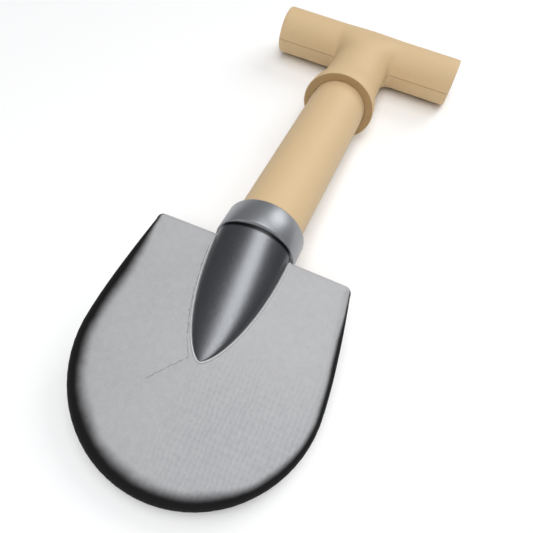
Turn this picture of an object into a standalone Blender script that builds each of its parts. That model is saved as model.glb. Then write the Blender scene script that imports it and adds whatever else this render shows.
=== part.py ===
"""T-handle camp shovel, lying as it comes to rest with the back of the blade up.

Everything is laid out in the shaft's own frame: the origin on the shaft axis at the ferrule's
top face, +Y along the shaft to the grip, +X across, +Z out of the back of the blade. The
empty shaft_frame then tips it all so that the bar and the blade's tip both touch z = 0.
"""

import math

import bmesh
import bpy
from mathutils import Matrix, Vector

MM = 0.001
GAP = 0.3 * MM                     # clearance between pieces that touch
CUT_PAST = 5.0 * MM                # how far cutters run beyond what they cut
CUT_REACH = 30.0 * MM

# shaft
SLEEVE_R = 16.0 * MM
TUBE_R = 12.5 * MM
TUBE_BORE_R = 10.5 * MM
TUBE_CHAMFER = 0.5 * MM
CAP_DEPTH = 8.0 * MM
CAP_CHAMFER = 1.0 * MM
CAP_HEAD = 1.2 * MM

# ferrule
FERRULE_R = 19.0 * MM
FERRULE_LEN = 13.9 * MM
FERRULE_SEAT = 6.6 * MM            # how deep the sleeve sits in it
FERRULE_ROUND = 0.8 * MM
RIVET_Y = -10.3 * MM
RIVET_R = 1.9 * MM
RIVET_HEAD_R = 3.0 * MM
RIVET_HEAD_H = 1.6 * MM
RIVET_IN = 6.0 * MM                # inner end of the rivet, measured from the axis

# grip
BAR_R = 14.3 * MM
BAR_HALF = 57.0 * MM
BAR_Y = 172.6 * MM
BAR_WALL = 2.8 * MM
BAR_END_ROUND = 2.0 * MM
NECK_R = 17.0 * MM
COLLAR_R = 20.9 * MM
COLLAR_Y = 109.0 * MM
COLLAR_LEN = 14.5 * MM
COLLAR_EDGE = 0.8 * MM
TEE_ROOT = 18.0 * MM               # half-width of the neck where it leaves the bar
TEE_FADE = 22.5 * MM
TEE_FILLET = 3.0 * MM
TEE_SADDLE = 2.5 * MM              # rise of the joint's edge on the bar's two sides
TUBE_TOP = BAR_Y - BAR_R + BAR_WALL
SLEEVE_TOP = COLLAR_Y + 11.0 * MM
WEB_HALF = 4.8 * MM                # half the thickness of the webs the screws pass through
SCREW_X = (-42.0 * MM, -20.5 * MM, 20.5 * MM, 42.0 * MM)
SCREW_R = 1.5 * MM
SCREW_HEAD_R = 3.1 * MM
SCREW_HEAD_H = 2.2 * MM
SCREW_SINK = 3.4 * MM              # depth of the recess the head sits in
SCREW_END = 7.0 * MM               # how far the screw reaches past the parting plane
SCREW_POINT = 1.2 * MM
SCREW_BEVEL = 0.5 * MM
NECK_SCREW_Y = 138.0 * MM
NECK_SINK = 3.0 * MM
NECK_SCREW_IN = 7.5 * MM
SLOT_W = 0.9 * MM
SLOT_DEPTH = 1.1 * MM

# blade
SHEET = 2.2 * MM
SHOULDER_Y = -15.6 * MM
SHOULDER_Z = 5.2 * MM
SLOPE = math.radians(20.8)         # the blade falls away from the shaft axis
SHOULDER_HALF = 46.2 * MM
WIDEST_HALF = 55.0 * MM
WIDEST_V = 57.5 * MM
BLADE_LEN = 111.4 * MM
CORNER_R = 3.2 * MM
RIM_R = 5.0 * MM
RIM_DROP = 3.8 * MM                # straight part of the turned-down rim
EDGE_ROUND = 0.5 * MM
CROWN_ACROSS = 1.6 * MM
CROWN_ALONG = 1.4 * MM
SIDE_POWER = 1.5
CORNER_SHARE = 0.6                 # how much of the full turn-down a corner has
FILL_V = 51.0 * MM                 # where the rings that fill the sheet shrink to
FILL_SCALES = (0.82, 0.62, 0.4, 0.2)
NOTCH_HALF = 11.0 * MM
NOTCH_END = -42.0 * MM

# socket halves
SOCKET_HALF = 16.9 * MM
SOCKET_WALL = 1.6 * MM
SOCKET_TOP_Y = -14.3 * MM
UPPER_END = -66.0 * MM
UPPER_RISE = 11.0 * MM
LOWER_END = -58.0 * MM
LOWER_DROP = 20.2 * MM
OGIVE_POWER = 0.66
RISE_POWER = 0.94
INNER_SHARE = 0.93                 # length of the hollow over the length of the socket
SOCKET_STATIONS = 14
SOCKET_ARC = 16

# tang
TANG_R = 10.2 * MM
TANG_TOP = 18.0 * MM
TANG_CHAMFER = 1.0 * MM
TANG_SHOULDER = -15.0 * MM
TANG_END = -40.0 * MM
TANG_TIP_HALF = 5.4 * MM
TANG_TIP_THICK = 3.8 * MM
TANG_TIP_Z = -3.8 * MM

ROUND_SEGS = 44
MID_SEGS = 32
HOLE_SEGS = 24
SMALL_SEGS = 16
BAR_CAGE = 8                       # corners of the grip's cage round the bar
NECK_CAGE = 12
SHARP = math.radians(35.0)

COLOURS = {
    "blade_silver": ((0.50, 0.50, 0.51), 0.42, 0.7),
    "socket_grey": ((0.115, 0.12, 0.13), 0.30, 0.75),
    "ferrule_grey": ((0.21, 0.22, 0.235), 0.36, 0.7),
    "beige_polymer": ((0.74, 0.55, 0.31), 0.55, 0.0),
    "plain_steel": ((0.42, 0.42, 0.43), 0.35, 0.9),
    "black_plastic": ((0.02, 0.02, 0.022), 0.5, 0.0),
}


def crown(x, v):
    """How far the blade's face lies below its flat reference plane."""
    return CROWN_ACROSS * (x / WIDEST_HALF) ** 2 + CROWN_ALONG * (v / BLADE_LEN) ** 2


def on_blade(x, v, depth):
    """Shaft-frame point: x across, v down the blade from its shoulder, depth below the face."""
    drop = depth + crown(x, v)
    y = SHOULDER_Y - v * math.cos(SLOPE) + drop * math.sin(SLOPE)
    z = SHOULDER_Z - v * math.sin(SLOPE) - drop * math.cos(SLOPE)
    return Vector((x, y, z))


def face_z(x, y):
    """Height of the blade's face over the shaft-frame point (x, y)."""
    v = (SHOULDER_Y - y) / math.cos(SLOPE)
    return SHOULDER_Z - v * math.sin(SLOPE) - crown(x, v) / math.cos(SLOPE)


def rest_turn():
    """Angle about X that stands the bar and the blade's tip on one plane."""
    tip = on_blade(0.0, BLADE_LEN - EDGE_ROUND, RIM_R + RIM_DROP)
    run = BAR_Y - tip.y
    fall = -tip.z
    return math.asin(BAR_R / math.hypot(run, fall)) - math.atan2(fall, run)


def add_object(name, points, faces, slot, at=(0.0, 0.0, 0.0)):
    """An object under the shaft empty, its own origin at the shaft-frame point at."""
    at = Vector(at)
    mesh = bpy.data.meshes.new(name)
    mesh.from_pydata([Vector(p) - at for p in points], [], faces)
    work = bmesh.new()
    work.from_mesh(mesh)
    bmesh.ops.recalc_face_normals(work, faces=work.faces)
    work.to_mesh(mesh)
    work.free()
    item = bpy.data.objects.new(name, mesh)
    item.location = at
    item.parent = bpy.data.objects["shaft_frame"]
    bpy.context.scene.collection.objects.link(item)
    if slot:
        mesh.materials.append(material(slot))
        mesh.shade_smooth()
        mesh.set_sharp_from_angle(angle=SHARP)
    return item


def material(slot):
    found = bpy.data.materials.get(slot)
    if found:
        return found
    colour, roughness, metallic = COLOURS[slot]
    made = bpy.data.materials.new(slot)
    made.use_nodes = True
    shader = made.node_tree.nodes["Principled BSDF"]
    shader.inputs["Base Color"].default_value = (*colour, 1.0)
    shader.inputs["Roughness"].default_value = roughness
    shader.inputs["Metallic"].default_value = metallic
    return made


def bridge(rings, closed_loop):
    """Quads between rings of equal length; closed_loop also joins the last ring to the first."""
    count = len(rings[0])
    points = [p for ring in rings for p in ring]
    faces = []
    last = len(rings) if closed_loop else len(rings) - 1
    for i in range(last):
        a = i * count
        b = ((i + 1) % len(rings)) * count
        for j in range(count):
            k = (j + 1) % count
            faces.append((a + j, a + k, b + k, b + j))
    return points, faces


def capped(rings):
    """A closed skin over rings, with a flat face on each end."""
    points, faces = bridge(rings, False)
    count = len(rings[0])
    start = (len(rings) - 1) * count
    faces.append(tuple(range(count)))
    faces.append(tuple(range(start, start + count)))
    return points, faces


def circle(radius, centre, across, up, segs):
    """Points round a circle in the plane of two unit vectors."""
    ring = []
    for i in range(segs):
        a = 2.0 * math.pi * i / segs
        ring.append(centre + radius * (math.cos(a) * across + math.sin(a) * up))
    return ring


X = Vector((1.0, 0.0, 0.0))
Y = Vector((0.0, 1.0, 0.0))
Z = Vector((0.0, 0.0, 1.0))


def turned_ring(name, profile, slot):
    """A tube about the shaft axis from a closed profile of (radius, y)."""
    rings = [circle(r, Y * y, X, Z, ROUND_SEGS) for r, y in profile]
    points, faces = bridge(rings, True)
    return add_object(name, points, faces, slot, Y * profile[0][1])


def turned_solid(name, profile, slot, segs, centre, across, up, axis):
    """A solid of revolution from an open profile of (radius, height along axis)."""
    rings = [circle(r, centre + axis * h, across, up, segs) for r, h in profile]
    points, faces = capped(rings)
    return add_object(name, points, faces, slot, centre)


def upright(name, profile, slot, x, y, segs=SMALL_SEGS):
    """A turned solid standing on the shaft frame's z direction at (x, y)."""
    return turned_solid(name, profile, slot, segs, Vector((x, y, 0.0)), X, Y, Z)


def box(name, low, high):
    points = [(x, y, z) for x in (low[0], high[0]) for y in (low[1], high[1])
              for z in (low[2], high[2])]
    faces = [(0, 1, 3, 2), (4, 6, 7, 5), (0, 4, 5, 1), (2, 3, 7, 6), (0, 2, 6, 4), (1, 5, 7, 3)]
    return add_object(name, points, faces, None, low)


def cut(item, cutter, operation="DIFFERENCE"):
    cutter.hide_render = True
    cutter.display_type = "WIRE"
    step = item.modifiers.new(cutter.name, "BOOLEAN")
    step.solver = "EXACT"
    step.operation = operation
    step.object = cutter


def blend(a, b, t):
    return a + (b - a) * t


def smooth_step(t):
    t = min(max(t, 0.0), 1.0)
    return t * t * (3.0 - 2.0 * t)


def side_half(v):
    """Half-width of the blade's outline at v, before the corners are rounded."""
    if v <= WIDEST_V:
        t = v / WIDEST_V
        return blend(SHOULDER_HALF, WIDEST_HALF, 1.0 - (1.0 - t) ** SIDE_POWER)
    t = (v - WIDEST_V) / (BLADE_LEN - WIDEST_V)
    return WIDEST_HALF * math.sqrt(max(0.0, 1.0 - t * t))


def half_outline():
    """Right half of the blade's outline from mid-shoulder to tip: (x, v, turn-down share)."""
    path = []
    flat_steps = 5
    for i in range(flat_steps):
        x = (SHOULDER_HALF - CORNER_R) * i / flat_steps
        path.append((x, 0.0, 0.0))
    corner_steps = 5
    for i in range(corner_steps + 1):
        a = math.pi / 2.0 * i / corner_steps
        x = side_half(CORNER_R) - CORNER_R + CORNER_R * math.sin(a)
        v = CORNER_R - CORNER_R * math.cos(a)
        path.append((x, v, smooth_step(CORNER_SHARE * i / corner_steps)))
    side_steps = 9
    for i in range(1, side_steps + 1):
        v = blend(CORNER_R, WIDEST_V, i / side_steps)
        share = smooth_step(blend(CORNER_SHARE, 1.0, min(1.0, 2.0 * i / side_steps)))
        path.append((side_half(v), v, share))
    tip_steps = 18
    for i in range(1, tip_steps + 1):
        a = math.pi / 2.0 * i / tip_steps
        v = WIDEST_V + (BLADE_LEN - WIDEST_V) * math.sin(a)
        path.append((WIDEST_HALF * math.cos(a), v, 1.0))
    return path


def blade_outline():
    right = half_outline()
    left = [(-x, v, share) for x, v, share in reversed(right[1:-1])]
    return right + left


def inset_point(outline, i, inset):
    """Outline point i moved inwards by inset along the outline's own normal."""
    before = outline[i - 1]
    after = outline[(i + 1) % len(outline)]
    x, v, share = outline[i]
    along = Vector((after[0] - before[0], after[1] - before[1])).normalized()
    inward = Vector((-along.y, along.x))
    return x + inward.x * inset, v + inward.y * inset


def rim_profile(share):
    """(inset, depth) from the face, over the rolled rim, to the underside."""
    roll = blend(SHEET + 0.1 * MM, RIM_R, share)
    bottom = roll + RIM_DROP * share
    inner = roll - SHEET
    roll_steps = 5
    angles = [math.pi / 2.0 * i / roll_steps for i in range(roll_steps + 1)]
    outer_side = [(roll * (1.0 - math.sin(a)), roll * (1.0 - math.cos(a))) for a in angles[:-1]]
    inner_side = [(roll - inner * math.sin(a), roll - inner * math.cos(a)) for a in angles]
    inner_side.reverse()
    edge = [(0.0, bottom - EDGE_ROUND), (EDGE_ROUND, bottom),
            (SHEET - EDGE_ROUND, bottom), (SHEET, bottom - EDGE_ROUND)]
    if share < 0.01:
        inner_side[0] = (SHEET + 0.05 * MM, bottom - EDGE_ROUND)
    return outer_side + edge + inner_side


def make_blade():
    outline = blade_outline()
    count = len(outline)
    profiles = [rim_profile(p[2]) for p in outline]
    rings = []
    for k in range(len(profiles[0])):
        ring = []
        for i in range(count):
            inset, depth = profiles[i][k]
            x, v = inset_point(outline, i, inset)
            ring.append(on_blade(x, v, depth))
        rings.append(ring)
    points, faces = bridge(rings, False)
    add_sheet_middle(points, faces, outline, profiles, 0, 0.0)
    add_sheet_middle(points, faces, outline, profiles, len(profiles[0]) - 1, SHEET)
    blade = add_object("blade", points, faces, "blade_silver", on_blade(0.0, 0.0, 0.0))
    cut(blade, notch_cutter())
    return blade


def add_sheet_middle(points, faces, outline, profiles, k, depth):
    """Fill the sheet inside profile ring k with shrinking rings that end in a fan."""
    count = len(outline)
    edge = [inset_point(outline, i, profiles[i][k][0]) for i in range(count)]
    outer = k * count
    for scale in FILL_SCALES:
        start = len(points)
        for x, v in edge:
            points.append(on_blade(x * scale, blend(FILL_V, v, scale), depth))
        for j in range(count):
            n = (j + 1) % count
            faces.append((outer + j, outer + n, start + n, start + j))
        outer = start
    points.append(on_blade(0.0, FILL_V, depth))
    hub = len(points) - 1
    for j in range(count):
        faces.append((outer + j, outer + (j + 1) % count, hub))


def notch_cutter():
    """A round-ended slot, open at the shoulder, that the tang lies in."""
    top = SHOULDER_Y + CUT_PAST
    centre_y = NOTCH_END + NOTCH_HALF
    ring = [(NOTCH_HALF, top), (-NOTCH_HALF, top)]
    steps = 16
    for i in range(steps + 1):
        a = math.pi + math.pi * i / steps
        ring.append((NOTCH_HALF * math.cos(a), centre_y + NOTCH_HALF * math.sin(a)))
    rings = [[Vector((x, y, z)) for x, y in ring] for z in (-CUT_REACH, CUT_REACH)]
    points, faces = capped(rings)
    return add_object("notch_cutter", points, faces, None)


def ogive(t):
    return max(0.0, 1.0 - t * t) ** OGIVE_POWER


def make_socket_half(name, end_y, height, side):
    """A tapered half-cone shell standing on one face of the blade (side +1 back, -1 front)."""
    shrink = 1.0 - SOCKET_WALL / height
    base_drop = 0.0 if side > 0 else SHEET / math.cos(SLOPE)
    inner_end = blend(SOCKET_TOP_Y, end_y, INNER_SHARE)

    def section(y, half, rise):
        row = []
        for j in range(SOCKET_ARC + 1):
            a = math.pi * j / SOCKET_ARC
            x = half * math.cos(a)
            base = face_z(x, y) - base_drop + side * GAP
            row.append(Vector((x, y, base + side * rise * math.sin(a))))
        return row

    outer = []
    inner = []
    for i in range(SOCKET_STATIONS):
        t = math.sin(math.pi / 2.0 * i / SOCKET_STATIONS)
        y_out = blend(SOCKET_TOP_Y, end_y, t)
        y_in = blend(SOCKET_TOP_Y, inner_end, t)
        outer.append(section(y_out, SOCKET_HALF * ogive(t), height * (1.0 - t) ** RISE_POWER))
        inner.append(section(y_in, (SOCKET_HALF - SOCKET_WALL) * ogive(t),
                             height * shrink * (1.0 - t) ** RISE_POWER))
    width = SOCKET_ARC + 1
    points = [p for row in outer for p in row] + [p for row in inner for p in row]
    offset = SOCKET_STATIONS * width
    faces = []
    for i in range(SOCKET_STATIONS - 1):
        for j in range(SOCKET_ARC):
            a = i * width + j
            faces.append((a, a + 1, a + width + 1, a + width))
            faces.append((offset + a, offset + a + width, offset + a + width + 1, offset + a + 1))
        for j in (0, SOCKET_ARC):
            a = i * width + j
            faces.append((a, a + width, offset + a + width, offset + a))
    for j in range(SOCKET_ARC):
        faces.append((j, offset + j, offset + j + 1, j + 1))
    tip_out = len(points)
    base = face_z(0.0, end_y) - base_drop + side * GAP
    points.append(Vector((0.0, end_y, base)))
    base = face_z(0.0, inner_end) - base_drop + side * GAP
    points.append(Vector((0.0, inner_end, base)))
    row = (SOCKET_STATIONS - 1) * width
    for j in range(SOCKET_ARC):
        faces.append((row + j, row + j + 1, tip_out))
        faces.append((offset + row + j, tip_out + 1, offset + row + j + 1))
    faces.append((row, tip_out, tip_out + 1, offset + row))
    faces.append((row + SOCKET_ARC, offset + row + SOCKET_ARC, tip_out + 1, tip_out))
    return add_object(name, points, faces, "socket_grey", (0.0, SOCKET_TOP_Y, 0.0))


def make_tang():
    """Round in the tube, then tapering flat inside the socket."""
    rings = [circle(TANG_R - TANG_CHAMFER, Y * TANG_TOP, X, Z, MID_SEGS),
             circle(TANG_R, Y * (TANG_TOP - TANG_CHAMFER), X, Z, MID_SEGS)]
    steps = 6
    for i in range(steps + 1):
        t = i / steps
        ease = smooth_step(t)
        half = blend(TANG_R, TANG_TIP_HALF, ease)
        thick = blend(TANG_R, TANG_TIP_THICK, ease)
        centre = Vector((0.0, blend(TANG_SHOULDER, TANG_END, t), blend(0.0, TANG_TIP_Z, ease)))
        rings.append([centre + Vector((half * math.cos(a), 0.0, thick * math.sin(a)))
                      for a in (2.0 * math.pi * n / MID_SEGS for n in range(MID_SEGS))])
    points, faces = capped(rings)
    return add_object("tang", points, faces, "plain_steel", Y * TANG_SHOULDER)


def make_ferrule():
    low = -FERRULE_LEN
    step_y = -FERRULE_SEAT
    r = FERRULE_ROUND
    wide = SLEEVE_R + GAP
    narrow = TUBE_R + GAP
    soft = 0.7 * r
    profile = [(FERRULE_R - r, low), (FERRULE_R - r + soft, low + r - soft), (FERRULE_R, low + r),
               (FERRULE_R, -r), (FERRULE_R - r + soft, soft - r), (FERRULE_R - r, 0.0),
               (wide, 0.0), (wide, step_y), (narrow, step_y), (narrow, low)]
    return turned_ring("ferrule", profile, "ferrule_grey")


def make_shaft():
    low = -FERRULE_LEN + GAP
    edge = TUBE_CHAMFER
    tube = turned_ring("shaft_tube", [(TUBE_R - edge, low), (TUBE_R, low + edge),
                                      (TUBE_R, TUBE_TOP - edge), (TUBE_R - edge, TUBE_TOP),
                                      (TUBE_BORE_R, TUBE_TOP), (TUBE_BORE_R, low)], "plain_steel")
    sleeve_low = -FERRULE_SEAT + GAP
    sleeve = turned_ring("shaft_sleeve", [(SLEEVE_R, sleeve_low), (SLEEVE_R, SLEEVE_TOP),
                                          (TUBE_R + GAP, SLEEVE_TOP), (TUBE_R + GAP, sleeve_low)],
                         "beige_polymer")
    return tube, sleeve


def make_tube_cap():
    """A press-in plug that closes the tube's upper end inside the grip."""
    r = TUBE_BORE_R - GAP
    head = TUBE_R - CAP_CHAMFER
    profile = [(r - CAP_CHAMFER, -CAP_DEPTH), (r, CAP_CHAMFER - CAP_DEPTH), (r, GAP),
               (head, GAP), (head, GAP + CAP_HEAD)]
    return turned_solid("tube_cap", profile, "black_plastic", MID_SEGS, Y * TUBE_TOP, X, Z, Y)


def make_rivet():
    head = -FERRULE_R - GAP
    profile = [(RIVET_R, -RIVET_IN), (RIVET_R, head), (RIVET_HEAD_R, head),
               (RIVET_HEAD_R * 0.92, head - 0.55 * RIVET_HEAD_H),
               (RIVET_HEAD_R * 0.68, head - 0.85 * RIVET_HEAD_H),
               (RIVET_HEAD_R * 0.3, head - RIVET_HEAD_H)]
    return upright("ferrule_rivet", profile, "plain_steel", 0.0, RIVET_Y)


def make_screw(name, x, y, under, tip):
    """A cross-head screw driven in from the digging side; under is where its head seats."""
    face = under - SCREW_HEAD_H
    profile = [(SCREW_R / 2.0, tip), (SCREW_R, tip - SCREW_POINT), (SCREW_R, under),
               (SCREW_HEAD_R, under), (SCREW_HEAD_R, face + SCREW_BEVEL),
               (SCREW_HEAD_R - SCREW_BEVEL, face)]
    screw = upright(name, profile, "plain_steel", x, y)
    long = SCREW_HEAD_R * 0.62
    for tag, half_x, half_y in (("a", long, SLOT_W / 2.0), ("b", SLOT_W / 2.0, long)):
        slot = box(name + "_slot_" + tag, (x - half_x, y - half_y, face - CUT_PAST),
                   (x + half_x, y + half_y, face + SLOT_DEPTH))
        cut(screw, slot)
    return screw


def make_screws():
    seat = -BAR_R + SCREW_SINK - GAP
    screws = []
    for i, x in enumerate(SCREW_X):
        screws.append(make_screw("grip_screw_%d" % (i + 1), x, BAR_Y, seat, SCREW_END))
    neck_seat = -NECK_R + NECK_SINK - GAP
    screws.append(make_screw("neck_screw", 0.0, NECK_SCREW_Y, neck_seat, -NECK_SCREW_IN))
    return screws


def cage_swell(corners):
    """How much bigger a ring of the cage must be for the subdivided skin to have its radius."""
    return 6.0 / (4.0 + 2.0 * math.cos(2.0 * math.pi / corners))


def cap_cage(work, ring, centre, shrink):
    """Close a ring of the cage with a narrow band and a flat face."""
    inner = [work.verts.new(centre + (v.co - centre) * shrink) for v in ring]
    for k in range(len(ring)):
        n = (k + 1) % len(ring)
        work.faces.new((ring[k], ring[n], inner[n], inner[k]))
    work.faces.new(inner)


def bar_cage(work):
    """The bar's cage rings, skinned except where the neck joins; returns the hole's corners."""
    bar = BAR_R * cage_swell(BAR_CAGE)
    end = BAR_HALF
    xs = [-end, BAR_END_ROUND - end, -TEE_FADE, -TEE_ROOT, 0.0, TEE_ROOT, TEE_FADE,
          end - BAR_END_ROUND, end]
    rings = []
    for x in xs:
        ring = circle(bar, Vector((x, BAR_Y, 0.0)), Y, Z, BAR_CAGE)
        rings.append([work.verts.new(p) for p in ring])
    hole = [(i, k) for i in (3, 4) for k in (2, 3, 4, 5)]
    for i in range(len(xs) - 1):
        for k in range(BAR_CAGE):
            if (i, k) not in hole:
                n = (k + 1) % BAR_CAGE
                work.faces.new((rings[i][k], rings[i][n], rings[i + 1][n], rings[i + 1][k]))
    for ring, x in ((rings[0], -end), (rings[-1], end)):
        cap_cage(work, ring, Vector((x, BAR_Y, 0.0)), 0.86)
    for ring in (rings[4][2], rings[4][6]):
        ring.co.y += TEE_SADDLE
    rim = [rings[3][k] for k in (4, 3, 2)] + [rings[4][2]] + [rings[5][k] for k in (2, 3, 4, 5, 6)]
    return rim + [rings[4][6]] + [rings[3][k] for k in (6, 5)]


def tee_cage():
    """Low cage of the bar and neck; subdivision rounds it and blends the joint."""
    work = bmesh.new()
    last = bar_cage(work)
    swell = cage_swell(NECK_CAGE)
    collar_end = COLLAR_Y + COLLAR_LEN
    root = BAR_Y - BAR_R - TEE_FILLET
    neck = ((root, NECK_R), (root - TEE_FILLET, NECK_R), (collar_end + 7.0 * MM, NECK_R),
            (collar_end, blend(NECK_R, COLLAR_R, 0.32)),
            (COLLAR_Y + 0.55 * COLLAR_LEN, blend(NECK_R, COLLAR_R, 0.85)),
            (COLLAR_Y + COLLAR_EDGE, COLLAR_R), (COLLAR_Y, COLLAR_R))
    for y, radius in neck:
        spots = circle(radius * swell, Y * y, -X, Z, NECK_CAGE)
        ring = [work.verts.new(p) for p in spots]
        for k in range(NECK_CAGE):
            n = (k + 1) % NECK_CAGE
            work.faces.new((last[k], last[n], ring[n], ring[k]))
        last = ring
    cap_cage(work, last, Y * COLLAR_Y, 0.94)
    points = [v.co.copy() for v in work.verts]
    work.verts.index_update()
    faces = [tuple(v.index for v in f.verts) for f in work.faces]
    work.free()
    return points, faces


def grip_bores():
    """What is taken out of both grip halves: bar hollow, neck bore and collar mouth."""
    bar_r = BAR_R - BAR_WALL
    half = BAR_HALF - BAR_WALL
    centre = Vector((0.0, BAR_Y, 0.0))
    edges = [-half] + [x + side * WEB_HALF for x in SCREW_X for side in (-1, 1)] + [half]
    bores = []
    for i in range(0, len(edges), 2):
        profile = [(bar_r, edges[i]), (bar_r, edges[i + 1])]
        name = "bar_pocket_%d" % (i // 2 + 1)
        bores.append(turned_solid(name, profile, None, MID_SEGS, centre, Y, Z, X))
    narrow = TUBE_R + GAP
    wide = SLEEVE_R + GAP
    bores.append(turned_solid("neck_bore", [(narrow, COLLAR_Y + CUT_PAST),
                                            (narrow, TUBE_TOP + GAP + CAP_HEAD + GAP)],
                              None, ROUND_SEGS, Vector(), X, Z, Y))
    bores.append(turned_solid("collar_mouth", [(wide, COLLAR_Y - CUT_PAST),
                                               (wide, SLEEVE_TOP + GAP)],
                              None, ROUND_SEGS, Vector(), X, Z, Y))
    return bores


def make_grip():
    points, faces = tee_cage()
    bores = grip_bores()
    holes = []
    for i, x in enumerate(SCREW_X):
        seat = -BAR_R + SCREW_SINK
        profile = [(SCREW_R + GAP, SCREW_END + 2.0 * GAP), (SCREW_R + GAP, seat),
                   (SCREW_HEAD_R + 2.0 * GAP, seat),
                   (SCREW_HEAD_R + 2.0 * GAP, -BAR_R - CUT_PAST)]
        holes.append(upright("screw_hole_%d" % (i + 1), profile, None, x, BAR_Y, HOLE_SEGS))
    seat = -NECK_R + NECK_SINK
    profile = [(SCREW_R + GAP, -TUBE_BORE_R), (SCREW_R + GAP, seat),
               (SCREW_HEAD_R + 2.0 * GAP, seat), (SCREW_HEAD_R + 2.0 * GAP, -NECK_R - CUT_PAST)]
    neck_hole = upright("neck_screw_hole", profile, None, 0.0, NECK_SCREW_Y, HOLE_SEGS)
    half_gap = GAP / 2.0
    reach_x = BAR_HALF + CUT_PAST
    spans = (("grip_upper", half_gap, CUT_REACH), ("grip_lower", -CUT_REACH, -half_gap))
    for name, low, high in spans:
        grip = add_object(name, points, faces, "beige_polymer", (0.0, BAR_Y, 0.0))
        sub = grip.modifiers.new("round", "SUBSURF")
        sub.levels = 2
        sub.render_levels = 2
        side = box(name + "_side", (-reach_x, COLLAR_Y - CUT_PAST, low),
                   (reach_x, BAR_Y + CUT_REACH, high))
        cut(grip, side, "INTERSECT")
        for bore in bores + holes:
            cut(grip, bore)
        if name == "grip_lower":
            cut(grip, neck_hole)


def drill_rivet_hole(pieces):
    profile = [(RIVET_R + GAP, -RIVET_IN + GAP), (RIVET_R + GAP, -FERRULE_R - CUT_PAST)]
    drill = upright("rivet_hole", profile, None, 0.0, RIVET_Y, HOLE_SEGS)
    for piece in pieces:
        cut(piece, drill)


def drill_neck_hole(tube):
    profile = [(SCREW_R + GAP, -NECK_SCREW_IN), (SCREW_R + GAP, -TUBE_R - CUT_PAST)]
    cut(tube, upright("tube_drill", profile, None, 0.0, NECK_SCREW_Y, HOLE_SEGS))


def stand_on_floor(frame):
    """Put the finished shovel's footprint centre at the origin and its lowest point on z = 0."""
    bpy.context.view_layer.update()
    graph = bpy.context.evaluated_depsgraph_get()
    spots = []
    for item in bpy.data.objects:
        if item.type == "MESH" and not item.hide_render:
            shape = item.evaluated_get(graph)
            spots.extend(shape.matrix_world @ v.co for v in shape.data.vertices)
    for axis in (0, 1):
        values = [p[axis] for p in spots]
        frame.location[axis] -= (min(values) + max(values)) / 2.0
    frame.location.z -= min(p.z for p in spots)


def main():
    for item in list(bpy.data.objects):
        bpy.data.objects.remove(item, do_unlink=True)
    frame = bpy.data.objects.new("shaft_frame", None)
    frame.rotation_euler.x = rest_turn()
    bpy.context.scene.collection.objects.link(frame)
    make_blade()
    make_socket_half("socket_upper", UPPER_END, UPPER_RISE, 1)
    make_socket_half("socket_lower", LOWER_END, LOWER_DROP, -1)
    tang = make_tang()
    ferrule = make_ferrule()
    tube, sleeve = make_shaft()
    make_tube_cap()
    make_rivet()
    drill_rivet_hole((ferrule, tube, tang))
    drill_neck_hole(tube)
    make_grip()
    make_screws()
    stand_on_floor(frame)


main()
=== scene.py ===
import math

import bmesh
import bpy
from mathutils import Matrix, Vector
from mathutils.bvhtree import BVHTree


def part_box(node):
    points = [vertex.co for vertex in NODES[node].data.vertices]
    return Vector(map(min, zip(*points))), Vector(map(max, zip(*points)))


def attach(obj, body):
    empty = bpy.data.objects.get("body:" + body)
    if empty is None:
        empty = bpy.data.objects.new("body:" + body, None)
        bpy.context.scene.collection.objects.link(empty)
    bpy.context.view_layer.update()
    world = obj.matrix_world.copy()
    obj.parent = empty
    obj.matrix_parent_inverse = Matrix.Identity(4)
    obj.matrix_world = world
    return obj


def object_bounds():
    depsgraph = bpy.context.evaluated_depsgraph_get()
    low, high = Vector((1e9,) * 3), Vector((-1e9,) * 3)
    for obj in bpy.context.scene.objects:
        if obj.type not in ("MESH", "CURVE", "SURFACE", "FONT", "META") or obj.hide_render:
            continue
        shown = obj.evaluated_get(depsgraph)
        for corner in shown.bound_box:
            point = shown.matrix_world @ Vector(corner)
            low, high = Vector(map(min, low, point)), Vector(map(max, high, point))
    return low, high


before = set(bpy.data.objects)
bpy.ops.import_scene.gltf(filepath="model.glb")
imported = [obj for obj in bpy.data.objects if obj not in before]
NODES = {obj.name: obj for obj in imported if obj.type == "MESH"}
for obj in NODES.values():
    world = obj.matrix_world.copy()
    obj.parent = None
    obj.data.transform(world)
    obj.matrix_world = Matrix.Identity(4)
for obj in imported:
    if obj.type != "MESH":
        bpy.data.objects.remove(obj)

CAD_LOW, CAD_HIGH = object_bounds()
MM = 0.001

# how the shovel lies: the shaft falls towards the grip, the blade falls towards its tip
SHAFT_TILT = math.radians(-5.81)
BLADE_SLOPE = math.radians(20.8)
BLADE_TILT = BLADE_SLOPE + SHAFT_TILT
BLADE_NORMAL = Vector((0.0, -math.sin(BLADE_TILT), math.cos(BLADE_TILT)))
DOWN_BLADE = Vector((0.0, -math.cos(BLADE_TILT), -math.sin(BLADE_TILT)))

# camera
AZIMUTH = math.radians(16.32)
ELEVATION = math.radians(57.43)
ROLL = math.radians(8.17)
DISTANCE = 0.2712
TARGET = Vector((0.0031, -0.0330, 0.0052))
LENS = 36.47

# blade outline in its own plane, measured from the middle of the shoulder
SHOULDER_HALF = 46.2 * MM
WIDEST_HALF = 55.0 * MM
WIDEST_AT = 57.5 * MM
BLADE_LENGTH = 111.4 * MM

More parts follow.
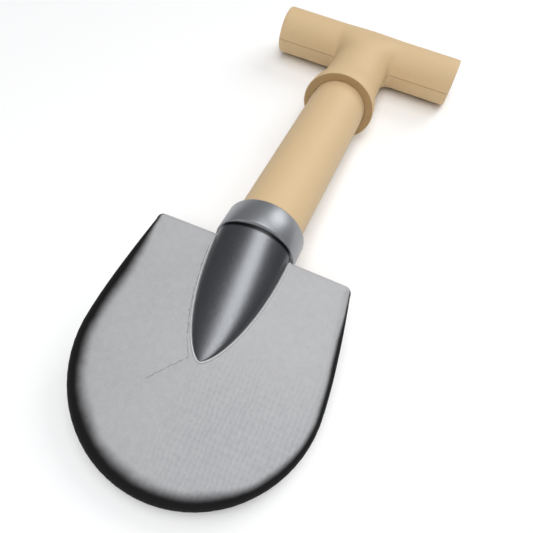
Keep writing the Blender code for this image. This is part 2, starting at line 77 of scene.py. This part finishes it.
# shaft frame: its origin is on the shaft's axis at the top face of the ferrule
ALONG_SHAFT = Vector((0.0, math.cos(SHAFT_TILT), math.sin(SHAFT_TILT)))
OUT_OF_BACK = Vector((0.0, -math.sin(SHAFT_TILT), math.cos(SHAFT_TILT)))
FERRULE_LENGTH = 13.9 * MM
FERRULE_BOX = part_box("ferrule")
SHAFT_ORIGIN = (FERRULE_BOX[0] + FERRULE_BOX[1]) / 2.0 + ALONG_SHAFT * FERRULE_LENGTH / 2.0
SHOULDER_BEHIND = 15.6 * MM
SHOULDER_RAISED = 5.2 * MM
SHOULDER = SHAFT_ORIGIN - ALONG_SHAFT * SHOULDER_BEHIND + OUT_OF_BACK * SHOULDER_RAISED
SOCKET_TOP = -14.3 * MM
# painted shadow of the ferrule's lip: a near-black band on the socket's top
GROOVE_SHADOW_LOW = SOCKET_TOP - 1.6 * MM
GROOVE_SHADOW_HIGH = SOCKET_TOP - 0.7 * MM
# painted shade on the collar's mouth, the face turned down the shaft
MOUTH_LOW = 112.0 * MM              # the collar's mouth is darker below this
MOUTH_HIGH = 115.0 * MM

# edges steeper than this stay sharp
SHARP = math.radians(35.0)

# painted dark reflection on the rim: its middle width, and how far it varies: wider on the left
# and at the tip, and narrower on the right and at the shoulder
RIM_WIDTH = 7.0 * MM
RIM_SPREAD = 4.4 * MM
RIM_TO_LEFT = -0.75
RIM_TO_TIP = 0.80
RIM_GROWTH = 30.0 * MM

# drawing marks
LINE_PITCH = 2.1 * MM
CROSS_PITCH = 2.8 * MM
LINE_WANDER = 3.5 * MM
ARC_PITCH = 1.1 * MM
ARC_ACROSS = 31.0 * MM
ARC_ALONG = 22.0 * MM

# exponent of the ogive that the socket's foot follows
OGIVE_POWER = 0.66

# hairline: an ogive 1 mm wider and 4 mm longer than the socket's foot, then a straight tail
HAIR_HALF = 18.0 * MM
HAIR_LENGTH = 58.0 * MM
HAIR_START = 6.0 * MM
HAIR_BEND = 54.0 * MM
HAIR_TURN = math.radians(40.0)
HAIR_TAIL = 19.0 * MM
HAIR_FADE = 0.2 * MM
HAIR_WANDER = 1.2 * MM
HAIR_OUTER = 0.22 * MM
HAIR_INNER = 0.08 * MM

# weld bead
BEAD_R = 0.48 * MM
BEAD_SUNK = 0.05 * MM
BEAD_TOP_IN = 1.0 * MM
BEAD_OUT = 1.035
BEAD_STEPS = 72


# ---------------------------------------------------------------- node helpers

class Graph:
    """Short calls for building one material's node tree."""

    def __init__(self, name):
        self.material = bpy.data.materials.new(name)
        self.material.use_nodes = True
        self.tree = self.material.node_tree
        self.shader = self.tree.nodes["Principled BSDF"]
        self.coords = self.tree.nodes.new("ShaderNodeTexCoord").outputs["Object"]

    def plug(self, socket, value):
        if isinstance(value, bpy.types.NodeSocket):
            self.tree.links.new(value, socket)
        elif isinstance(value, (tuple, list)) and len(value) == 3 and socket.type == "RGBA":
            socket.default_value = (*value, 1.0)
        else:
            socket.default_value = value

    def math(self, operation, a, b=0.0, c=0.0):
        node = self.tree.nodes.new("ShaderNodeMath")
        node.operation = operation
        for socket, value in zip(node.inputs, (a, b, c)):
            self.plug(socket, value)
        return node.outputs[0]

    def vector(self, operation, a, b=(0.0, 0.0, 0.0)):
        node = self.tree.nodes.new("ShaderNodeVectorMath")
        node.operation = operation
        self.plug(node.inputs[0], a)
        self.plug(node.inputs[1], b)
        return node.outputs["Value" if operation in ("DOT_PRODUCT", "LENGTH") else "Vector"]

    def scaled(self, vector, factors):
        return self.vector("MULTIPLY", vector, factors)

    def noise(self, scale, detail=3.0, roughness=0.55, coords=None):
        node = self.tree.nodes.new("ShaderNodeTexNoise")
        self.plug(node.inputs["Vector"], coords or self.coords)
        node.inputs["Scale"].default_value = scale
        node.inputs["Detail"].default_value = detail
        node.inputs["Roughness"].default_value = roughness
        return node.outputs["Fac"]

    def span(self, value, low, high, to_low=0.0, to_high=1.0, smooth=False):
        node = self.tree.nodes.new("ShaderNodeMapRange")
        node.interpolation_type = "SMOOTHSTEP" if smooth else "LINEAR"
        for socket, item in zip(node.inputs, (value, low, high, to_low, to_high)):
            self.plug(socket, item)
        return node.outputs["Result"]

    def mix(self, share, a, b):
        node = self.tree.nodes.new("ShaderNodeMix")
        node.data_type = "RGBA"
        self.plug(node.inputs["Factor"], share)
        self.plug(node.inputs["A"], a)
        self.plug(node.inputs["B"], b)
        return node.outputs["Result"]

    def bump(self, height, strength, distance, normal=None):
        node = self.tree.nodes.new("ShaderNodeBump")
        node.inputs["Strength"].default_value = strength
        node.inputs["Distance"].default_value = distance
        self.plug(node.inputs["Height"], height)
        if normal:
            self.plug(node.inputs["Normal"], normal)
        return node.outputs["Normal"]

    def set(self, **values):
        for key, value in values.items():
            self.plug(self.shader.inputs[key.replace("_", " ")], value)


def edge_wear(g, scale):
    """A soft mask that is strongest on convex edges, broken up by noise."""
    node = g.tree.nodes.new("ShaderNodeNewGeometry")
    edge = g.span(node.outputs["Pointiness"], 0.52, 0.60)
    return g.math("MULTIPLY", edge, g.span(g.noise(scale), 0.42, 0.62))


# ---------------------------------------------------------------- materials

def blade_material():
    """Matte silver coating with a painted near-black reflection over the rolled rim and its walls.
    """
    g = Graph("blade_coat")
    offset = g.vector("SUBTRACT", g.coords, tuple(SHOULDER))
    across = g.vector("DOT_PRODUCT", offset, (1.0, 0.0, 0.0))
    along = g.vector("DOT_PRODUCT", offset, tuple(DOWN_BLADE))
    facing = g.tree.nodes.new("ShaderNodeNewGeometry").outputs["Normal"]
    square = g.vector("DOT_PRODUCT", facing, tuple(BLADE_NORMAL))
    edge, width = rim_distance(g, across, along)
    cloud = g.noise(28.0, 4.0)
    grain = g.noise(1500.0, 2.0)
    mottle = g.noise(330.0, 3.0, 0.6)
    # painted dark reflection: a near-black band in from the outline, and on the rim's steep walls
    frayed = g.math("MULTIPLY", edge, g.span(g.noise(90.0, 3.0), 0.3, 0.7, 0.92, 1.08))
    rim_reflection = g.span(g.math("DIVIDE", frayed, width), 1.0, 0.40, smooth=True)
    wall_reflection = g.span(square, 0.80, 0.55, smooth=True)
    wall_reflection = g.math("MULTIPLY", wall_reflection, g.span(along, 2.0 * MM, 10.0 * MM))
    rim_reflection = g.math("MAXIMUM", rim_reflection, g.math("MULTIPLY", wall_reflection, g.span(square, -0.9, -0.8)))

    silver = g.mix(g.span(cloud, 0.3, 0.7), (0.375, 0.376, 0.388), (0.425, 0.425, 0.428))
    # painted shade: darker, slightly bluer middle of the blade's face
    mid_face_shade = g.math("MULTIPLY", g.span(along, 0.030, 0.075), g.span(across, -0.040, 0.020))
    silver = g.mix(g.math("MULTIPLY", mid_face_shade, 0.6), silver, (0.345, 0.346, 0.368))
    silver = g.mix(g.math("MULTIPLY", g.span(mottle, 0.35, 0.70), 0.35), silver,
                   (0.485, 0.484, 0.482))
    silver = g.mix(g.math("MULTIPLY", g.span(grain, 0.35, 0.75), 0.3), silver,
                   (0.51, 0.51, 0.515))
    # colour of the painted dark reflection on the rim
    reflected_black = g.mix(cloud, (0.004, 0.004, 0.0045), (0.009, 0.0085, 0.0085))

    back = g.span(square, 0.2, 0.5)
    weave = g.math("MULTIPLY", ripples(g, across, along), back)
    silver = g.mix(g.math("MULTIPLY", weave, 0.20), silver, (0.29, 0.29, 0.325))
    hair = g.math("MULTIPLY", hairline(g, across, along), back)
    silver = g.mix(g.math("MULTIPLY", hair, 0.75), silver, (0.14, 0.135, 0.13))
    colour = g.mix(rim_reflection, silver, reflected_black)

    fine = g.bump(grain, 0.14, 0.0002)
    fine = g.bump(mottle, 0.10, 0.0005, fine)
    fine = g.bump(weave, 0.10, 0.0003, fine)
    fine = g.bump(hair, -0.6, 0.0005, fine)
    rough = g.math("MULTIPLY_ADD", rim_reflection, 0.2, g.span(cloud, 0.3, 0.7, 0.50, 0.60))
    g.set(Base_Color=colour, Roughness=rough, Normal=fine)
    g.set(Metallic=g.math("MULTIPLY_ADD", rim_reflection, -0.15, 0.15))
    g.shader.inputs["Specular IOR Level"].default_value = 0.16
    return g.material


def rim_distance(g, across, along):
    """Distance inwards from the blade's outline, and how wide the painted dark reflection on the
    rim is there.
    """
    past = g.math("SUBTRACT", along, WIDEST_AT)
    stretched = g.math("MULTIPLY", past, WIDEST_HALF / (BLADE_LENGTH - WIDEST_AT))
    radius = g.math("SQRT", g.math("ADD", g.math("POWER", across, 2.0),
                                   g.math("POWER", stretched, 2.0)))
    tip_edge = g.math("SUBTRACT", WIDEST_HALF, radius)
    left = g.span(along, 0.0, WIDEST_AT, 1.0, 0.0)
    flare = g.math("SUBTRACT", 1.0, g.math("POWER", left, 1.5))
    half = g.math("MULTIPLY_ADD", flare, WIDEST_HALF - SHOULDER_HALF, SHOULDER_HALF)
    side_edge = g.math("SUBTRACT", half, g.math("ABSOLUTE", across))
    below = g.math("GREATER_THAN", past, 0.0)
    edge = g.math("ADD", g.math("MULTIPLY", tip_edge, below),
                  g.math("MULTIPLY", side_edge, g.math("SUBTRACT", 1.0, below)))
    lean = g.math("ADD", g.math("MULTIPLY", g.math("DIVIDE", across, radius), RIM_TO_LEFT),
                  g.math("MULTIPLY", g.math("DIVIDE", past, radius), RIM_TO_TIP))
    straight = g.math("MULTIPLY", g.math("SIGN", across), RIM_TO_LEFT)
    lean = g.math("ADD", g.math("MULTIPLY", lean, below),
                  g.math("MULTIPLY", straight, g.math("SUBTRACT", 1.0, below)))
    full = g.math("MULTIPLY_ADD", lean, RIM_SPREAD, RIM_WIDTH)
    grown = g.span(along, 0.0, RIM_GROWTH, 0.30, 1.0, smooth=True)
    return edge, g.math("MULTIPLY", full, grown)


def wave(g, distance, pitch):
    return g.math("SINE", g.math("MULTIPLY", distance, 2.0 * math.pi / pitch))


def ripples(g, across, along):
    """Faint drawing marks: fine lines low on the right and arcs by the right shoulder."""
    low_right = g.math("MULTIPLY", g.span(across, -10.0 * MM, 12.0 * MM),
                       g.span(along, 36.0 * MM, 62.0 * MM))
    wavy = g.math("MULTIPLY_ADD", g.noise(90.0), LINE_WANDER, across)
    line = wave(g, wavy, LINE_PITCH)
    cross = wave(g, along, CROSS_PITCH)
    weave = g.math("MULTIPLY", g.math("MULTIPLY_ADD", cross, 0.45, line), low_right)
    x = g.math("SUBTRACT", across, ARC_ACROSS)
    y = g.math("SUBTRACT", along, ARC_ALONG)
    reach = g.math("SQRT", g.math("ADD", g.math("POWER", x, 2.0), g.math("POWER", y, 2.0)))
    arc = wave(g, reach, ARC_PITCH)
    near = g.math("MULTIPLY", g.span(reach, 14.0 * MM, 6.0 * MM),
                  g.span(reach, 1.0 * MM, 4.0 * MM))
    return g.math("MULTIPLY_ADD", g.math("MULTIPLY", arc, near), 0.45, weave)


def thin_line(g, off, ends):
    return g.math("MULTIPLY", g.span(g.math("ABSOLUTE", off), HAIR_OUTER, HAIR_INNER), ends)


def hairline(g, across, along):
    """Mask of one thin wandering line: beside the socket's left foot, then off to one side."""
    wander = g.math("MULTIPLY_ADD", g.noise(420.0, 4.0, 0.7), 2.0 * HAIR_WANDER, -HAIR_WANDER)
    left = g.math("DIVIDE", along, HAIR_LENGTH)
    left = g.math("MAXIMUM", g.math("SUBTRACT", 1.0, g.math("POWER", left, 2.0)), 0.0)
    beside = g.math("MULTIPLY", g.math("POWER", left, OGIVE_POWER), HAIR_HALF)
    off = g.math("ADD", g.math("ADD", across, beside), wander)
    ends = g.math("MULTIPLY", g.span(along, HAIR_START, HAIR_START + HAIR_FADE),
                  g.span(along, HAIR_BEND + HAIR_FADE, HAIR_BEND))
    mask = thin_line(g, off, ends)

    bend_across = -HAIR_HALF * (1.0 - (HAIR_BEND / HAIR_LENGTH) ** 2) ** OGIVE_POWER
    x = g.math("SUBTRACT", across, bend_across)
    y = g.math("SUBTRACT", along, HAIR_BEND)
    way = (-math.sin(HAIR_TURN), math.cos(HAIR_TURN))
    run = g.math("ADD", g.math("MULTIPLY", x, way[0]), g.math("MULTIPLY", y, way[1]))
    side = g.math("SUBTRACT", g.math("MULTIPLY", y, way[0]), g.math("MULTIPLY", x, way[1]))
    ends = g.math("MULTIPLY", g.span(run, -HAIR_FADE, 0.0),
                  g.span(run, HAIR_TAIL + HAIR_FADE, HAIR_TAIL))
    mask = g.math("MAXIMUM", mask, thin_line(g, g.math("ADD", side, wander), ends))
    return g.math("MULTIPLY", mask, g.span(g.noise(260.0, 3.0), 0.34, 0.52, 0.25, 1.0))


def satin_material(name, dark, light, low, high, metallic, wear=0.35, groove_shadow=False):
    """Satin coated steel with brushing along the shaft and slight wear on its edges, and if asked a
    painted shadow band on the socket's top under the ferrule's lip.
    """
    g = Graph(name)
    cloud = g.noise(40.0, 4.0)
    brushed = g.noise(260.0, 3.0, coords=g.scaled(g.coords, (6.0, 0.35, 6.0)))
    colour = g.mix(cloud, dark, light)
    colour = g.mix(g.math("MULTIPLY", g.span(brushed, 0.3, 0.7), 0.35), colour, light)
    if wear:
        colour = g.mix(g.math("MULTIPLY", edge_wear(g, 500.0), wear), colour, (0.5, 0.5, 0.5))
    if groove_shadow:
        # painted shadow: near-black band on the socket's top, under the ferrule's lip
        offset = g.vector("SUBTRACT", g.coords, tuple(SHAFT_ORIGIN))
        along = g.vector("DOT_PRODUCT", offset, tuple(ALONG_SHAFT))
        shade = g.span(along, GROOVE_SHADOW_LOW, GROOVE_SHADOW_HIGH, smooth=True)
        colour = g.mix(shade, colour, (0.012, 0.012, 0.013))
    g.set(Base_Color=colour, Roughness=g.span(brushed, 0.25, 0.75, low, high), Metallic=metallic)
    g.set(Normal=g.bump(brushed, 0.10, 0.0002))
    return g.material


def polymer_material(name, wear):
    """Matte moulded beige polymer: fine grain, slow colour drift, rubbed edges, painted shade on
    the collar's mouth.
    """
    g = Graph(name)
    drift = g.noise(18.0, 4.0)
    grain = g.noise(1900.0, 2.0)
    pore = g.noise(520.0, 3.0)
    colour = g.mix(drift, (0.630, 0.455, 0.250), (0.655, 0.478, 0.272))
    colour = g.mix(g.math("MULTIPLY", g.span(pore, 0.40, 0.70), 0.12), colour, (0.71, 0.54, 0.33))
    if wear:
        colour = g.mix(g.math("MULTIPLY", edge_wear(g, 300.0), wear), colour, (0.76, 0.61, 0.41))
    # painted shade: the collar's mouth, facing down the shaft, is mixed towards brown
    facing = g.tree.nodes.new("ShaderNodeNewGeometry").outputs["Normal"]
    mouth_shade = g.span(g.vector("DOT_PRODUCT", facing, tuple(-ALONG_SHAFT)), 0.80, 0.97)
    offset = g.vector("SUBTRACT", g.coords, tuple(SHAFT_ORIGIN))
    height = g.vector("DOT_PRODUCT", offset, tuple(ALONG_SHAFT))
    low_down = g.span(height, MOUTH_HIGH, MOUTH_LOW)
    colour = g.mix(g.math("MULTIPLY", mouth_shade, low_down), colour, (0.42, 0.275, 0.13))
    g.set(Base_Color=colour, Roughness=g.span(pore, 0.3, 0.7, 0.50, 0.62))
    g.shader.inputs["Specular IOR Level"].default_value = 0.35
    g.set(Normal=g.bump(grain, 0.14, 0.0002, g.bump(pore, 0.10, 0.0004)))
    return g.material


def black_material():
    """Fine-grained black plastic of the plug in the tube's end."""
    g = Graph("black_plastic_skin")
    grain = g.noise(1500.0, 2.0)
    g.set(Base_Color=g.mix(grain, (0.015, 0.015, 0.016), (0.03, 0.03, 0.031)), Roughness=0.5)
    g.set(Normal=g.bump(grain, 0.1, 0.0002))
    return g.material


def soft_shading():
    """Geometry group that welds a faceted mesh and keeps only its true edges sharp."""
    group = bpy.data.node_groups.new("soft_shading", "GeometryNodeTree")
    group.interface.new_socket("Geometry", in_out="INPUT", socket_type="NodeSocketGeometry")
    group.interface.new_socket("Geometry", in_out="OUTPUT", socket_type="NodeSocketGeometry")
    nodes = group.nodes
    links = group.links
    weld = nodes.new("GeometryNodeMergeByDistance")
    weld.inputs["Distance"].default_value = 0.002 * MM
    smooth = nodes.new("GeometryNodeSetShadeSmooth")
    sharp = nodes.new("GeometryNodeSetShadeSmooth")
    sharp.domain = "EDGE"
    sharp.inputs["Shade Smooth"].default_value = False
    angle = nodes.new("GeometryNodeInputMeshEdgeAngle")
    steep = nodes.new("FunctionNodeCompare")
    steep.inputs[1].default_value = SHARP
    links.new(nodes.new("NodeGroupInput").outputs[0], weld.inputs["Geometry"])
    links.new(weld.outputs[0], smooth.inputs["Geometry"])
    links.new(smooth.outputs[0], sharp.inputs["Geometry"])
    links.new(angle.outputs["Unsigned Angle"], steep.inputs[0])
    links.new(steep.outputs[0], sharp.inputs["Selection"])
    links.new(sharp.outputs[0], nodes.new("NodeGroupOutput").inputs[0])
    return group


def soften():
    group = soft_shading()
    for item in NODES.values():
        item.modifiers.new("soft_shading", "NODES").node_group = group


def paint(names, material):
    for name in names:
        mesh = NODES[name].data
        mesh.materials.clear()
        mesh.materials.append(material)


def seam_bead():
    """Thin weld bead along the socket's foot, lying on the blade's back."""
    graph = bpy.context.evaluated_depsgraph_get()
    blade = BVHTree.FromObject(NODES["blade"], graph)
    low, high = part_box("socket_upper")
    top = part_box("ferrule")[0].y + BEAD_TOP_IN
    foot = low.y
    half = (high.x - low.x) / 2.0
    spine = []
    for i in range(BEAD_STEPS + 1):
        a = math.pi * i / BEAD_STEPS
        t = math.sin(a)
        x = -math.copysign(half * max(0.0, 1.0 - t * t) ** OGIVE_POWER, math.cos(a) or 1.0)
        y = top + (foot - top) * t
        spot = blade.ray_cast(Vector((x * BEAD_OUT, y - BEAD_R * t, high.z)), Vector((0, 0, -1)))[0]
        if spot:
            spine.append(spot + BLADE_NORMAL * BEAD_SUNK)
    curve = bpy.data.curves.new("seam_bead", "CURVE")
    curve.dimensions = "3D"
    curve.bevel_depth = BEAD_R
    curve.bevel_resolution = 2
    curve.use_fill_caps = True
    line = curve.splines.new("POLY")
    line.points.add(len(spine) - 1)
    for point, spot in zip(line.points, spine):
        point.co = (*spot, 1.0)
    bead = bpy.data.objects.new("seam_bead", curve)
    bpy.context.scene.collection.objects.link(bead)
    curve.materials.append(bead_material())
    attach(bead, "root")


def bead_material():
    """Light, slightly lumpy weld metal."""
    g = Graph("seam_bead_coat")
    lump = g.noise(900.0, 3.0)
    g.set(Base_Color=g.mix(lump, (0.46, 0.46, 0.465), (0.56, 0.56, 0.565)), Roughness=0.45)
    g.set(Metallic=0.2, Normal=g.bump(lump, 0.3, 0.0002))
    return g.material


# ---------------------------------------------------------------- stage

def make_camera():
    """The main view, aimed at TARGET from AZIMUTH and ELEVATION."""
    back = Vector((math.sin(AZIMUTH) * math.cos(ELEVATION),
                   -math.cos(AZIMUTH) * math.cos(ELEVATION), math.sin(ELEVATION)))
    data = bpy.data.cameras.new("camera")
    data.lens = LENS
    data.clip_start = 0.01
    camera = bpy.data.objects.new("camera", data)
    turn = (-back).to_track_quat("-Z", "Y").to_matrix().to_4x4()
    camera.matrix_world = (Matrix.Translation(TARGET + back * DISTANCE) @ turn
                           @ Matrix.Rotation(ROLL, 4, "Z"))
    bpy.context.scene.collection.objects.link(camera)
    bpy.context.scene.camera = camera


def area_light(name, place, aim, size, power):
    data = bpy.data.lights.new(name, "AREA")
    data.shape = "RECTANGLE"
    data.size, data.size_y = size
    data.energy = power
    light = bpy.data.objects.new(name, data)
    light.location = place
    light.rotation_mode = "QUATERNION"
    light.rotation_quaternion = (Vector(aim) - Vector(place)).to_track_quat("-Z", "Y")
    bpy.context.scene.collection.objects.link(light)


def make_stage():
    """Pale floor, pale world and three soft lights."""
    work = bmesh.new()
    bmesh.ops.create_grid(work, x_segments=1, y_segments=1, size=6.0)
    mesh = bpy.data.meshes.new("floor")
    work.to_mesh(mesh)
    work.free()
    floor = bpy.data.objects.new("floor", mesh)
    floor.location.z = CAD_LOW.z - 0.1 * MM
    bpy.context.scene.collection.objects.link(floor)
    g = Graph("floor_paper")
    g.set(Base_Color=(0.96, 0.96, 0.96), Roughness=0.9)
    mesh.materials.append(g.material)

    world = bpy.data.worlds.new("studio")
    world.use_nodes = True
    background = world.node_tree.nodes["Background"]
    background.inputs["Color"].default_value = (0.95, 0.97, 1.0, 1.0)
    background.inputs["Strength"].default_value = 0.28
    bpy.context.scene.world = world
    area_light("strip", (0.06, -0.42, 0.96), (0.0, -0.06, 0.03), (0.40, 0.75), 5.6)
    area_light("overhead", (0.10, 0.25, 1.80), (0.0, -0.03, 0.02), (1.0, 1.0), 8.0)
    area_light("back", (0.50, 1.15, 0.90), (0.0, -0.03, 0.02), (0.80, 0.90), 8.0)
    bpy.context.scene.view_settings.view_transform = "Standard"


# ---------------------------------------------------------------- object

def dress_nodes():
    paint(["blade"], blade_material())
    socket = satin_material("socket_coat", (0.105, 0.108, 0.116), (0.130, 0.134, 0.142),
                            0.28, 0.36, 0.90, 0.0, True)
    paint(["socket_upper", "socket_lower"], socket)
    paint(["ferrule"], satin_material("ferrule_coat", (0.285, 0.294, 0.310), (0.335, 0.344, 0.360),
                                      0.36, 0.44, 0.85, 0.0))
    steel = satin_material("bare_steel", (0.36, 0.36, 0.37), (0.48, 0.48, 0.48), 0.28, 0.4, 0.95)
    screws = [name for name in NODES if "screw" in name]
    paint(screws + ["ferrule_rivet", "tang", "shaft_tube"], steel)
    paint(["shaft_sleeve"], polymer_material("beige_sleeve_skin", 0.0))
    paint(["grip_upper", "grip_lower"], polymer_material("beige_grip_skin", 0.3))
    paint(["tube_cap"], black_material())


make_camera()
make_stage()
dress_nodes()
soften()
seam_bead()
